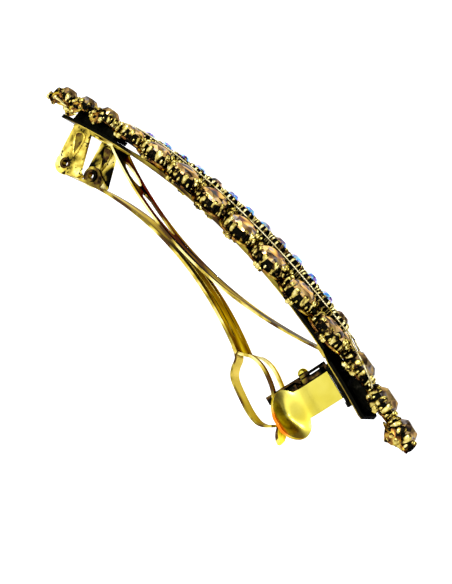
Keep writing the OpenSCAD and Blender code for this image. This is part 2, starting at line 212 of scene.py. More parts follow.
# ---------- camera ----------

# In the clip's own frame, before it is stood up: place, turn from the +Y heading towards -X,
# tilt up from looking straight down, and roll about its own axis
CAMERA_PLACE = (63.387, -129.519, 17.007)
CAMERA_HEADING = math.radians(23.3633)
CAMERA_TILT = math.radians(80.0927)
CAMERA_ROLL = math.radians(41.1663)


def make_camera():
    """The photograph's view: from the near side, a little above, rolled so the clip lies aslant."""
    data = bpy.data.cameras.new("camera")
    data.lens = 52.14
    data.sensor_width = 36
    data.clip_start = 0.005
    data.clip_end = 10
    cam = bpy.data.objects.new("camera", data)
    aimed = turn("Z", CAMERA_HEADING) @ turn("X", CAMERA_TILT) @ turn("Z", CAMERA_ROLL)
    pose = STANDING @ move(*CAMERA_PLACE) @ aimed
    pose.translation *= MM
    cam.matrix_world = pose
    bpy.context.collection.objects.link(cam)
    bpy.context.scene.camera = cam


make_camera()

# ---------- materials ----------

OFF = (0, 0, 0)
ON = (1, 1, 1)

# Sockets of a Mix node for colours
MIX_FACTOR, MIX_FIRST, MIX_SECOND = 0, 6, 7
MIX_RESULT = 2


def fill_ramp(band, stops):
    """Gives a new colour ramp its stops, each a place and a colour."""
    while len(band.elements) < len(stops):
        band.elements.new(0.5)
    for element, (place, colour) in zip(band.elements, stops):
        element.position = place
        element.color = (*colour, 1)


class Look:
    """A node material: a Principled shader with short helpers for its inputs."""

    def __init__(self, name, metallic=1.0, roughness=0.3, **sockets):
        self.mat = bpy.data.materials.new(name)
        self.mat.use_nodes = True
        self.tree = self.mat.node_tree
        self.shader = self.tree.nodes["Principled BSDF"]
        self.coords = self.tree.nodes.new("ShaderNodeTexCoord").outputs["Object"]
        self.set("Metallic", metallic)
        self.set("Roughness", roughness)
        for key, value in sockets.items():
            self.set(key.replace("_", " "), value)

    def set(self, socket, value):
        self.shader.inputs[socket].default_value = value

    def link(self, out, socket):
        self.tree.links.new(out, self.shader.inputs[socket])

    def node(self, kind, **values):
        made = self.tree.nodes.new(kind)
        for key, value in values.items():
            setattr(made, key, value)
        return made

    def stretched(self, scale):
        """Object coordinates scaled per axis, to draw streaks."""
        mapping = self.node("ShaderNodeMapping")
        mapping.inputs["Scale"].default_value = scale
        self.tree.links.new(self.coords, mapping.inputs["Vector"])
        return mapping.outputs["Vector"]

    def noise(self, scale, stretch=(1, 1, 1), detail=4):
        """Smooth noise from 0 to 1, scale to a metre."""
        made = self.node("ShaderNodeTexNoise")
        made.inputs["Scale"].default_value = scale
        made.inputs["Detail"].default_value = detail
        self.tree.links.new(self.stretched(stretch), made.inputs["Vector"])
        return made.outputs["Fac"]

    def ramp(self, fac, stops):
        """Colours a value by stops, each a place and a colour."""
        made = self.node("ShaderNodeValToRGB")
        fill_ramp(made.color_ramp, stops)
        self.tree.links.new(fac, made.inputs["Fac"])
        return made.outputs["Color"]

    def mask(self, fac, low, high):
        """0 where fac is under low, 1 where it is over high."""
        return self.ramp(fac, ((low, OFF), (high, ON)))

    def mix(self, fac, a, b):
        """Colour a where fac is 0 and colour b where it is 1."""
        made = self.node("ShaderNodeMix", data_type="RGBA")
        self.tree.links.new(fac, made.inputs[MIX_FACTOR])
        for colour, key in ((a, MIX_FIRST), (b, MIX_SECOND)):
            if isinstance(colour, bpy.types.NodeSocket):
                self.tree.links.new(colour, made.inputs[key])
            else:
                made.inputs[key].default_value = (*colour, 1)
        return made.outputs[MIX_RESULT]

    def bump(self, height, strength, depth):
        """Surface relief from a height, its depth in millimetres."""
        made = self.node("ShaderNodeBump")
        made.inputs["Strength"].default_value = strength
        made.inputs["Distance"].default_value = depth * MM
        self.tree.links.new(height, made.inputs["Height"])
        self.link(made.outputs["Normal"], "Normal")

    def times(self, a, b):
        made = self.node("ShaderNodeMath", operation="MULTIPLY")
        self.tree.links.new(a, made.inputs[0])
        self.tree.links.new(b, made.inputs[1])
        return made.outputs[0]

    def within(self, place, reach):
        """1 nearer than reach to a line across the clip through the origin of a frame."""
        centre = place.translation * MM
        flat = self.node("ShaderNodeVectorMath", operation="MULTIPLY_ADD")
        flat.inputs[1].default_value = (1, 0, 1)
        flat.inputs[2].default_value = (-centre.x, 0, -centre.z)
        self.tree.links.new(self.coords, flat.inputs[0])
        away = self.node("ShaderNodeVectorMath", operation="LENGTH")
        self.tree.links.new(flat.outputs[0], away.inputs[0])
        inside = self.node("ShaderNodeMath", operation="LESS_THAN")
        inside.inputs[1].default_value = reach * MM
        self.tree.links.new(away.outputs["Value"], inside.inputs[0])
        return inside.outputs[0]

    def along(self, axis, start, end):
        """Goes from 0 at start to 1 at end along an axis, both in millimetres, and stays there."""
        split = self.node("ShaderNodeSeparateXYZ")
        self.tree.links.new(self.coords, split.inputs[0])
        scale = self.node("ShaderNodeMapRange")
        scale.inputs["From Min"].default_value = start * MM
        scale.inputs["From Max"].default_value = end * MM
        self.tree.links.new(split.outputs[axis], scale.inputs["Value"])
        return scale.outputs["Result"]

    def metal(self, colour):
        """Metal that keeps its own colour where it is seen at a slant."""
        self.link(colour, "Base Color")
        self.link(colour, "Specular Tint")

    def side_faces(self):
        """1 on faces that look sideways, across the clip, 0 on its flats."""
        split = self.node("ShaderNodeSeparateXYZ")
        self.tree.links.new(self.node("ShaderNodeNewGeometry").outputs["True Normal"], split.inputs[0])
        size = self.node("ShaderNodeMath", operation="ABSOLUTE")
        self.tree.links.new(split.outputs["Y"], size.inputs[0])
        return self.mask(size.outputs[0], 0.5, 0.7)


PALE = (0.88, 0.80, 0.38)
BRIGHT = (0.78, 0.64, 0.13)
GOLD = (0.50, 0.38, 0.055)
OLIVE = (0.20, 0.15, 0.018)
BROWN = (0.06, 0.03, 0.01)
BLACK = (0.003, 0.003, 0.002)


def claw_gold():
    """Lumpy cast gold, black in its dips."""
    look = Look("claw_gold", roughness=0.22)
    tone = look.noise(900, detail=3)
    look.metal(look.ramp(tone, ((0.41, BLACK), (0.46, BROWN), (0.5, (0.36, 0.28, 0.06)),
                                (0.58, (0.50, 0.41, 0.12)), (0.7, (0.76, 0.68, 0.33)))))
    look.bump(look.noise(1500, detail=2), 0.7, 0.18)
    return look.mat


def prong_gold():
    """Duller gold of the small upright prongs."""
    look = Look("prong_gold", roughness=0.25)
    look.metal(look.ramp(look.noise(1200, detail=2),
                         ((0.38, BROWN), (0.46, (0.42, 0.34, 0.1)), (0.62, (0.68, 0.61, 0.31)))))
    look.bump(look.noise(1500, detail=2), 0.4, 0.1)
    return look.mat


def dark_cup():
    """Blackened recesses: hardly a shine."""
    look = Look("dark_cup", roughness=0.4)
    tone = look.noise(1500, detail=5)
    look.metal(look.ramp(tone, ((0.58, BLACK), (0.68, (0.03, 0.02, 0.008)), (0.78, OLIVE))))
    look.bump(look.noise(1400), 0.6, 0.1)
    return look.mat


def scallop_gold():
    """Brown and black with worn gold, under the cups."""
    look = Look("scallop_gold", roughness=0.25)
    stops = ((0.42, BLACK), (0.48, (0.10, 0.04, 0.01)), (0.55, (0.26, 0.13, 0.025)), (0.64, GOLD))
    look.metal(look.ramp(look.noise(700, detail=4), stops))
    look.bump(look.noise(1100), 0.4, 0.1)
    return look.mat


def black_plate():
    """Black with faint light streaks along it, which are painted highlights; its cut edge is worn to
    olive, with a thin gold line below.
    """
    look = Look("black_plate", roughness=0.22)
    streak = look.noise(300, (0.1, 1, 1), detail=3)
    # Painted highlight: the pale top of this ramp draws light streaks along the black.
    dark = look.ramp(streak, ((0.6, BLACK), (0.68, (0.03, 0.02, 0.01)), (0.76, (0.22, 0.2, 0.16))))
    edge = look.ramp(look.noise(500, (0.3, 1, 1)),
                     ((0.38, BLACK), (0.48, (0.12, 0.08, 0.02)), (0.62, GOLD)))
    sides = look.side_faces()
    worn = look.times(sides, look.within(STANDING @ move(0, 0, -BASE_R), BASE_R + EDGE_LINE))
    olive = look.ramp(look.noise(400, (0.2, 1, 1)),
                      ((0.4, BLACK), (0.47, BROWN), (0.55, OLIVE), (0.66, GOLD)))
    middle = look.times(look.along("X", 20, 8), look.along("X", -27, -20))
    look.metal(look.mix(worn, look.mix(look.times(sides, middle), dark, olive), edge))
    return look.mat


def solder_black():
    """Uneven black of the solder and the catch's web."""
    look = Look("solder_black", roughness=0.35)
    tone = look.noise(900, detail=4)
    look.metal(look.ramp(tone, ((0.6, BLACK), (0.7, (0.02, 0.018, 0.012)), (0.78, (0.16, 0.15, 0.12)))))
    look.bump(look.noise(700, detail=3), 0.8, 0.3)
    return look.mat


def arm_gold():
    """Olive gold with brighter cut edges; on the far side of the hinge end, the brown is painted shade.
    """
    look = Look("arm_gold", roughness=0.3)
    flat = look.ramp(look.noise(240, (0.18, 1, 1), detail=4),
                     ((0.34, BROWN), (0.4, OLIVE), (0.5, (0.36, 0.26, 0.035)), (0.62, BRIGHT)))
    edge = look.ramp(look.noise(420, (0.4, 1, 1)),
                     ((0.36, BROWN), (0.44, OLIVE), (0.52, GOLD), (0.64, PALE)))
    gold = look.mix(look.side_faces(), flat, edge)
    # Painted shade: brown round the hinge on the arm's far side.
    brown = look.ramp(look.noise(500, detail=4),
                      ((0.36, BLACK), (0.44, BROWN), (0.54, OLIVE), (0.64, GOLD)))
    hinge_shade = look.times(look.within(HINGE, 3.2), look.along("Y", 0, 0.5))
    look.metal(look.mix(hinge_shade, gold, brown))
    look.bump(look.noise(600, (0.3, 1, 1)), 0.25, 0.1)
    return look.mat


def spring_gold():
    """Nearly black by the hinge, olive towards the catch, with bright cut edges."""
    look = Look("spring_gold", roughness=0.3)
    streak = look.noise(300, (0.15, 1, 1), detail=4)
    dark = look.ramp(streak, ((0.31, BLACK), (0.39, BROWN), (0.46, (0.24, 0.12, 0.03)),
                              (0.56, OLIVE), (0.68, GOLD)))
    olive = look.ramp(streak, ((0.36, BLACK), (0.41, BROWN), (0.47, OLIVE), (0.54, GOLD),
                               (0.66, BRIGHT)))
    edge = look.ramp(look.noise(420, (0.3, 1, 1)), ((0.4, BROWN), (0.48, GOLD), (0.62, PALE)))
    flat = look.mix(look.along("X", -12, 4), dark, olive)
    look.metal(look.mix(look.side_faces(), flat, edge))
    look.bump(look.noise(600, (0.3, 1, 1)), 0.2, 0.1)
    return look.mat


def worn_gold():
    """The hinge ears: yellow gold with black specks and scratches."""
    look = Look("worn_gold", roughness=0.25)
    patch = look.ramp(look.noise(420, detail=6),
                      ((0.37, BLACK), (0.42, OLIVE), (0.5, GOLD), (0.6, BRIGHT), (0.7, PALE)))
    speck = look.mask(look.noise(1500, detail=2), 0.62, 0.67)
    inner = look.ramp(look.noise(350, (1, 1, 0.5), detail=6),
                      ((0.37, BLACK), (0.42, OLIVE), (0.49, GOLD), (0.62, PALE)))
    gold = look.mix(look.along("Y", 0, 0.5), patch, inner)
    look.metal(look.mix(speck, gold, BLACK))
    look.bump(look.noise(800, (1, 1, 0.3)), 0.5, 0.12)
    return look.mat


def polished_gold():
    """Polished lemon gold, with a painted dark reflection in brown streaks across the finger pad's
    hollow and a painted copper reflection at its rim.
    """
    look = Look("polished_gold", roughness=0.2)
    gold = look.ramp(look.noise(160, detail=3), ((0.3, (0.48, 0.40, 0.04)), (0.7, (0.60, 0.53, 0.10))))
    streak = look.mask(look.noise(260, (0.4, 1, 1), detail=3), 0.38, 0.56)
    # Painted reflection: brown streaks across the pad's hollow stand in for the dark it mirrors.
    hollow_painted_reflection = look.times(look.along("Y", -6.2, -7.2), look.along("Y", -8.9, -8.2))
    gold = look.mix(look.times(hollow_painted_reflection, streak), gold, (0.30, 0.19, 0.02))
    # Painted reflection: copper-red patches at the pad's outer rim.
    patch = look.mask(look.noise(330, detail=2), 0.4, 0.5)
    look.metal(look.mix(look.times(look.along("Y", -8.5, -9.1), patch), gold, (0.70, 0.16, 0.01)))
    look.bump(look.noise(260, detail=2), 0.08, 0.12)
    return look.mat


def bow_gold():
    """Duller gold of the strap bent for a fingertip, painted paler to stand in for the floor's light it
    mirrors, with dark cut edges.
    """
    look = Look("bow_gold", roughness=0.42)
    # Painted reflection: these paler flats stand in for the lit floor below the bow.
    flat = look.ramp(look.noise(260, (0.3, 1, 0.3), detail=4),
                     ((0.3, BROWN), (0.42, (0.34, 0.25, 0.05)), (0.6, (0.52, 0.41, 0.12))))
    edge = look.ramp(look.noise(400), ((0.42, BROWN), (0.52, OLIVE), (0.64, GOLD)))
    look.metal(look.mix(look.side_faces(), flat, edge))
    look.bump(look.noise(700), 0.2, 0.1)
    return look.mat


def leaf_gold():
    """Pale gold of the petals at both tips."""
    look = Look("leaf_gold", roughness=0.28)
    look.metal(look.ramp(look.noise(500, detail=4),
                         ((0.34, BROWN), (0.42, (0.4, 0.26, 0.05)), (0.6, PALE))))
    look.bump(look.noise(900), 0.4, 0.1)
    return look.mat


def dark_leg():
    """Dark bronze of the latch legs and the hinge pins."""
    look = Look("dark_leg", roughness=0.25)
    look.metal(look.ramp(look.noise(500, detail=4), ((0.45, BLACK), (0.56, BROWN), (0.68, OLIVE))))
    look.bump(look.noise(900), 0.3, 0.1)
    return look.mat


def wire_gold():
    """Pale gold of the gallery wires."""
    look = Look("wire_gold", roughness=0.3)
    look.metal(look.ramp(look.noise(800, detail=2), ((0.37, OLIVE), (0.54, (0.58, 0.52, 0.31)))))
    return look.mat


def facet_glint_tone(look, scale, drift):
    """A tone that jumps from facet to facet and drifts slowly along the clip: a painted reflection, set
    by which way each facet faces.
    """
    geometry = look.node("ShaderNodeNewGeometry")
    place = look.node("ShaderNodeVectorMath", operation="MULTIPLY_ADD")
    place.inputs[1].default_value = (drift, drift, drift)
    look.tree.links.new(look.coords, place.inputs[0])
    look.tree.links.new(geometry.outputs["True Normal"], place.inputs[2])
    tone = look.node("ShaderNodeTexNoise")
    tone.inputs["Scale"].default_value = scale
    tone.inputs["Detail"].default_value = 1
    look.tree.links.new(place.outputs[0], tone.inputs["Vector"])
    return tone.outputs["Fac"]


def champagne_glass(name, depth):
    """Foiled glass: each facet keeps its own tone, from gold-brown to grey-mauve, partly the glass's
    colour and partly painted reflection; darker by depth.
    """
    look = Look(name, metallic=0.85, roughness=0.1, Coat_Weight=0.15, Coat_Roughness=0.05)
    stops = ((0.34, (0.02, 0.012, 0.008)), (0.41, (0.16, 0.085, 0.035)), (0.48, (0.46, 0.28, 0.09)),
             (0.56, (0.70, 0.47, 0.17)), (0.62, (0.36, 0.31, 0.29)), (0.68, (0.05, 0.035, 0.03)),
             (0.74, (0.42, 0.26, 0.10)))
    shades = [(place, tuple(level * depth for level in colour)) for place, colour in stops]
    # Painted reflection: each facet's tone, set by its facing, stands in for what the facet mirrors.
    look.metal(look.ramp(facet_glint_tone(look, 3.4, 90), shades))
    return look.mat


def pearl_glass():
    """Small stones with a blue-violet coat that shifts from facet to facet, the coat's own colours
    mixed with painted reflections and cyan-white highlights; some stay brown.
    """
    look = Look("pearl_glass", metallic=0.7, roughness=0.08, Coat_Weight=0.6, Coat_Roughness=0.03)
    stops = ((0.36, (0.01, 0.008, 0.03)), (0.42, (0.28, 0.12, 0.62)), (0.48, (0.06, 0.22, 0.85)),
             (0.54, (0.12, 0.55, 0.92)), (0.6, (0.45, 0.80, 0.92)), (0.66, (0.34, 0.14, 0.55)),
             (0.72, (0.30, 0.14, 0.08)))
    # Painted reflection and highlight: near black to cyan-white, set by each facet's facing.
    pearl = look.ramp(facet_glint_tone(look, 2.6, 160), stops)
    brown = look.ramp(facet_glint_tone(look, 3.0, 160),
                      ((0.4, BLACK), (0.5, (0.10, 0.04, 0.02)), (0.6, (0.4, 0.2, 0.08))))
    patch = look.mask(look.noise(95, detail=1), 0.54, 0.6)
    look.link(look.mix(patch, pearl, brown), "Base Color")
    return look.mat


CLAW = claw_gold()
CUP = dark_cup()
SCALLOP = scallop_gold()
PLATE = black_plate()
SOLDER = solder_black()
LEG = dark_leg()
ARM = arm_gold()
SPRING = spring_gold()
PRONG = prong_gold()
LEAF = leaf_gold()
EARS = worn_gold()
POLISHED = polished_gold()
WIRE = wire_gold()
CHAMPAGNE = champagne_glass("champagne_glass", 1.0)
DARK_CHAMPAGNE = champagne_glass("dark_champagne_glass", 0.45)
BOW = bow_gold()
PEARL = pearl_glass()


def paint(name, material):
    """Gives a CAD node its finish."""
    node = nodes[name]
    if not node.material_slots:
        node.data.materials.append(material)
    for slot in node.material_slots:
        slot.material = material


def node_names(start):
    """CAD nodes whose names begin alike, in order."""
    return sorted(n for n in nodes if n.startswith(start))


FINISHES = (
    (PLATE, ("base_plate",)),
    (SOLDER, ("hinge_solder_pad", "catch_solder_pad", "catch_base")),
    (LEG, ("fixed_latch_leg", "near_hinge_pin", "far_hinge_pin")),
    (CUP, ("deco_plate", "middle_settings", "near_settings", "far_settings",
           "hinge_tail_settings", "catch_tail_settings")),
    (ARM, ("closing_arm",)),
    (BOW, ("finger_bow",)),
    (SPRING, ("tension_spring",)),
    (EARS, ("hinge_bracket",)),
    (POLISHED, ("release_lever", "latch_boss")),
    (WIRE, ("near_gallery_wire", "far_gallery_wire")),
    (LEAF, ("hinge_leaves", "catch_leaves")),
    (CHAMPAGNE, node_names("near_stone") + node_names("far_stone")),
    (DARK_CHAMPAGNE, node_names("tail_stone")),
    (PEARL, node_names("middle_stone")),
)
for material, painted in FINISHES:
    for name in painted:
        paint(name, material)

# ---------- pieces ----------

class Piece:
    """Gathers meshes, each placed by a frame, and makes one object of them."""

    def __init__(self, name, material, slot):
        self.name = name
        self.material = material
        self.slot = slot
        self.points = []
        self.faces = []

    def add(self, points, faces, place=None):
        """Adds a mesh, in the frame of a place or as it is."""
        start = len(self.points)
        self.points += [(place @ Vector(p)) if place else Vector(p) for p in points]
        self.faces += [tuple(start + i for i in f) for f in faces]

    def finish(self, body="frame", smooth=True, subdivide=0):
        """Makes the object, riding on a body."""
        mesh = bpy.data.meshes.new(self.name)
        mesh.from_pydata([p * MM for p in self.points], [], self.faces)
        mesh.polygons.foreach_set("use_smooth", [smooth] * len(mesh.polygons))
        mesh.validate()
        mesh.materials.append(self.material)
        obj = bpy.data.objects.new(self.name, mesh)
        bpy.context.collection.objects.link(obj)
        if subdivide:
            modifier = obj.modifiers.new("subdivide", "SUBSURF")
            modifier.levels = subdivide
            modifier.render_levels = subdivide
        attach(obj, body)
        return obj


def tube(path, radii, sides=7, closed=False):
    """Points and faces of a tube along a path with a radius at each point, closed by flat ends."""
    count = len(path)
    path = [Vector(p) for p in path]
    points, faces = [], []
    side = None
    for i, here in enumerate(path):
        after = path[(i + 1) % count] if closed else path[min(i + 1, count - 1)]
        before = path[i - 1] if closed else path[max(i - 1, 0)]
        ahead = (after - before).normalized()
        if side is None:
            side = ahead.orthogonal().normalized()
        side = (side - ahead * side.dot(ahead)).normalized()
        other = ahead.cross(side)
        for j in range(sides):
            angle = 2 * math.pi * j / sides
            points.append(here + radii[i] * (math.cos(angle) * side + math.sin(angle) * other))
    for i in range(count if closed else count - 1):
        for j in range(sides):
            a, b = i * sides, (i + 1) % count * sides
            faces.append((a + j, b + j, b + (j + 1) % sides, a + (j + 1) % sides))
    if not closed:
        faces.append(tuple(range(sides))[::-1])
        faces.append(tuple((count - 1) * sides + j for j in range(sides)))
    return points, faces


def ball(radius, squash=1.0, rings=6, sides=9):
    """Points and faces of a bead."""
    points = [(0, 0, -radius * squash)]
    for i in range(1, rings):
        tilt = math.pi * (i / rings - 0.5)
        across = radius * math.cos(tilt)
        height = radius * squash * math.sin(tilt)
        for j in range(sides):
            angle = 2 * math.pi * j / sides
            points.append((across * math.cos(angle), across * math.sin(angle), height))
    points.append((0, 0, radius * squash))
    last = len(points) - 1
    faces = [(0, 1 + (j + 1) % sides, 1 + j) for j in range(sides)]
    for i in range(rings - 2):
        a, b = 1 + i * sides, 1 + (i + 1) * sides
        faces += [(a + j, a + (j + 1) % sides, b + (j + 1) % sides, b + j) for j in range(sides)]
    a = 1 + (rings - 2) * sides
    faces += [(a + j, a + (j + 1) % sides, last) for j in range(sides)]
    return points, faces


def jitter(size):
    """A random amount, at most size either way."""
    return rng.uniform(-size, size)


def claw(reach_x, reach_y, angle, size, low=False):
    """One lumpy claw at an angle round an oval cup: it grips the wall and curls over the rim.

    Its stops are distance out from the wall, height and radius.
    """
    out = Vector((math.cos(angle) * reach_x, math.sin(angle) * reach_y, 0))
    outward = Vector((math.cos(angle) / reach_x, math.sin(angle) / reach_y, 0)).normalized()
    stops = ((-0.1, -1.25, 0.28), (-0.05, -0.85, 0.36), (-0.08, -0.4, 0.46), (-0.12, 0.02, 0.53),
             (-0.3, 0.32, 0.5), (-0.52, 0.46, 0.34), (-0.7, 0.46, 0.14))
    if low:
        stops = stops[:4] + ((-0.2, 0.2, 0.4), (-0.4, 0.32, 0.2))
    path = [out + outward * (a + jitter(0.08)) + Vector((0, 0, h + jitter(0.08))) for a, h, _ in stops]
    points, faces = tube(path, [size * r * (1 + jitter(0.2)) for _, _, r in stops])
    proud = [max(0, (p - out).dot(outward) + 0.4 * p.z - CLAW_REACH) for p in points]
    return [p - outward * extra for p, extra in zip(points, proud)], faces


def add_claws(piece, place, length, width, size, inner=0):
    """A ring of claws with a small lump between each two; those towards the inner side are kept low."""
    half_x, half_y = length / 2, width / 2
    for i in range(CLAW_COUNT):
        angle = 2 * math.pi * (i + 0.5) / CLAW_COUNT + jitter(0.1)
        low = inner * math.sin(angle) > 0.45
        one_size = size * (1 + jitter(0.15))
        piece.add(*claw(half_x + CUP_EDGE, half_y + CUP_EDGE, angle, one_size, low), place)
        between = angle + math.pi / CLAW_COUNT
        x, y = (half_x + LUMP_OUT) * math.cos(between), (half_y + LUMP_OUT) * math.sin(between)
        piece.add(*ball(0.26 + jitter(0.06), 1.8), place @ move(x, y, -0.95 + jitter(0.15)))


def oval(reach_x, reach_y, height):
    """Points of a level oval."""
    angles = [2 * math.pi * i / OVAL_STEPS for i in range(OVAL_STEPS)]
    return [(reach_x * math.cos(a), reach_y * math.sin(a), height) for a in angles]


def oval_ring(reach_x, reach_y, height, radius):
    """A closed oval wire at a height."""
    return tube(oval(reach_x, reach_y, height), [radius] * OVAL_STEPS, closed=True)


def dish(reach_x, reach_y, low, high):
    """A shallow oval flange, closed above and below."""
    steps = OVAL_STEPS
    points, faces = [], []
    rings = ((1.0, high), (1.06, (low + high) / 2), (0.98, low), (0.4, low + 0.02))
    for grow, height in rings:
        points += oval(reach_x * grow, reach_y * grow, height)
    for i in range(len(rings) - 1):
        for j in range(steps):
            k = (j + 1) % steps
            faces.append((i * steps + j, (i + 1) * steps + j, (i + 1) * steps + k, i * steps + k))
    faces.append(tuple(range(steps)))
    faces.append(tuple((len(rings) - 1) * steps + j for j in range(steps))[::-1])
    return points, faces


def spline(stops, steps):
    """Smooth curve through stops, steps to a span."""
    stops = [Vector(p) for p in stops]
    out = []
    for i in range(len(stops) - 1):
        a, b = stops[max(i - 1, 0)], stops[i]
        c, d = stops[i + 1], stops[min(i + 2, len(stops) - 1)]
        for j in range(steps):
            t = j / steps
            out.append(0.5 * (2 * b + (c - a) * t + (2 * a - 5 * b + 4 * c - d) * t * t
                              + (3 * b - a - 3 * c + d) * t ** 3))
    out.append(stops[-1])
    return out


def petal(length, half_w, thick, stations=9):
    """A plump leaf along +X with a groove down its middle."""
    section = ((-1.0, 0.0), (-0.75, 0.55), (-0.35, 0.8), (0.0, 0.3), (0.35, 0.8), (0.75, 0.55),
               (1.0, 0.0), (0.6, -0.5), (-0.6, -0.5))
    points, faces = [], []
    for i in range(stations):
        s = 0.02 + 0.96 * i / (stations - 1)
        swell = math.sin(math.pi * s) ** 0.7
        for y, z in section:
            points.append((length * s, half_w * swell * y, thick * swell * z))
    n = len(section)
    for i in range(stations - 1):
        for j in range(n):
            k = (j + 1) % n
            faces.append((i * n + j, (i + 1) * n + j, (i + 1) * n + k, i * n + k)[::-1])
    faces.append(tuple(range(n)))
    faces.append(tuple((stations - 1) * n + j for j in range(n))[::-1])
    return points, faces


def add_rim(piece, place, reach_x, reach_y, low, high, lip, radius):
    """The scalloped flange under a cup, with a round lip a little outside it."""
    piece.add(*dish(reach_x, reach_y, low, high), place)
    piece.add(*oval_ring(reach_x + lip, reach_y + lip, low + 0.2, radius), place)


def make_row_trim(side, label):
    """Claws, flanges and beads of one outer row."""
    claws = Piece(label + "_claws", CLAW, "antique_gold")
    rims = Piece(label + "_scallops", SCALLOP, "antique_gold")
    beads = Piece(label + "_beads", CLAW, "antique_gold")
    inner = -side
    outer_y = side * (STONE_W / 2 + 0.8)
    for k in range(1, ROW_COUNT + 1):
        place = at_row(row_x(k), side)
        add_claws(claws, place, STONE_LEN, STONE_W, ROW_CLAW, inner)
        add_rim(rims, place, STONE_LEN / 2 + 0.75, STONE_W / 2 + 0.7,
                low=-1.62, high=-1.3, lip=0.1, radius=0.2)
        for x, radius in ((-0.55, 0.42), (0.05, 0.5), (0.65, 0.4)):
            beads.add(*ball(radius), place @ move(x + jitter(0.1), outer_y, -1.6 + jitter(0.1)))
    for k in range(1, ROW_COUNT):
        place = at_row((row_x(k) + row_x(k + 1)) / 2, side)
        for x, y, h, radius in ((0.1, 0.8, 0.3, 0.42), (-0.1, -1.0, -0.1, 0.5)):
            bead = ball(radius * (1 + jitter(0.15)), 0.9)
            beads.add(*bead, place @ move(x + jitter(0.12), inner * y, h + jitter(0.1)))
    claws.finish(subdivide=1)
    rims.finish()
    beads.finish()


def make_tail_trim():
    """Claws, flanges, beads and hanging petals of the six stones of the tails."""
    claws = Piece("tail_claws", CLAW, "antique_gold")
    rims = Piece("tail_scallops", SCALLOP, "antique_gold")
    beads = Piece("tail_beads", CLAW, "antique_gold")
    for x, h, length in zip(TAIL_X, TAIL_H, TAIL_LEN):
        place = on_deco(x, 0, h)
        width = length * TAIL_SLIM
        add_claws(claws, place, length, width, TAIL_CLAW)
        add_rim(rims, place, length / 2 + 0.5, width / 2 + 0.6,
                low=-1.5, high=-1.15, lip=0.05, radius=0.18)
        for side in (-1, 1):
            for along in (-1.1, -0.2, 0.8):
                lump = move(along + jitter(0.15), side * (width / 2 + 0.45), -1.6 + jitter(0.15))
                beads.add(*ball(0.68, 0.9), place @ lump)
        if x in BARE_TAILS:
            continue
        for side in (-1, 1):
            hang = move(0, side * (width / 2 + 0.5), -0.2) @ turn("X", side * math.radians(10))
            downwards = place @ hang @ turn("Y", math.pi / 2) @ turn("X", math.pi / 2 * side)
            rims.add(*petal(2.7, 1.55, 0.42), downwards)
            beads.add(*ball(0.42), place @ move(jitter(0.2), side * (width / 2 + 0.75), -2.6))
    for x, y, h in TAIL_CLUSTERS:
        for side in (-1, 1):
            for along, inwards in ((0, 0), (-0.4, 0.6), (0.45, 0.7)):
                place = on_deco(x + along, side * (y - inwards), h + jitter(0.15))
                beads.add(*ball(0.46, 0.9), place)
    claws.finish(subdivide=1)
    rims.finish()
    beads.finish()


def make_middle_trim():
    """Upright prongs and dark collars round the small round stones."""
    bars = Piece("middle_prongs", PRONG, "antique_gold")
    collars = Piece("middle_collars", CUP, "antique_gold")
    reach = MID_R + PRONG_OUT
    collar = MID_R + 0.18
    for k in range(1, MID_COUNT + 1):
        place = on_deco(mid_x(k))
        top = mid_h(k)
        stops = ((reach, PLATE_TOP + 0.2, 0.16), (reach + 0.05, top - 0.9, 0.18),
                 (reach + 0.1, top - 0.1, 0.24), (reach, top + 0.45, 0.26),
                 (reach - 0.4, top + 0.6, 0.13))
        for i in range(PRONG_COUNT):
            angle = 2 * math.pi * (i + 0.5) / PRONG_COUNT + jitter(0.06)
            around = Vector((math.cos(angle), math.sin(angle), 0))
            path = [around * r + Vector((0, 0, z)) for r, z, _ in stops]
            bars.add(*tube(path, [r * (1 + jitter(0.15)) for _, _, r in stops]), place)
        for rise in (0.12, 0.38):
            collars.add(*oval_ring(collar, collar, top + rise, 0.2), place)
    bars.finish(subdivide=1)
    collars.finish()


def make_wires(side, label):
    """Two fine beaded wires side by side, in place of the plain CAD wire, and their bent ends."""
    piece = Piece(label + "_milgrain_wires", WIRE, "wire_gold")
    bead_pitch = 0.42
    steps = 5
    first, last = ROW_MID_X - WIRE_HALF_LEN, ROW_MID_X + WIRE_HALF_LEN
    count = int((last - first) / bead_pitch) * steps
    for inwards in WIRES_IN:
        path, radii = [], []
        for i in range(count + 1):
            x = first + (last - first) * i / count
            path.append(on_deco(x, side * (row_at(x) - inwards), WIRE_H) @ Vector())
            radii.append(0.13 + 0.03 * math.cos(2 * math.pi * i / steps))
        piece.add(*tube(path, radii))
    wires = piece.finish()
    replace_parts(wires, label + "_gallery_wire")
    ends = Piece(label + "_wire_ends", WIRE, "wire_gold")
    hinge_end = ((first, row_at(first) - WIRE_ENDS_IN, WIRE_H), (-27.4, 3.2, 0.9), (-29.3, 2.6, -0.4))
    catch_end = ((last, row_at(last) - WIRE_ENDS_IN, WIRE_H), (30.4, 2.7, 1.1), (33.6, 3.1, 0.7),
                 (36.4, 2.3, 0.1), (37.4, 1.6, -0.4))
    for stops in (hinge_end, catch_end):
        path = [on_deco(x, side * y, h) @ Vector() for x, y, h in spline(stops, 24)]
        radii = [0.17 + 0.04 * math.cos(2 * math.pi * i / 3) for i in range(len(path))]
        ends.add(*tube(path, radii))
    ends.finish()


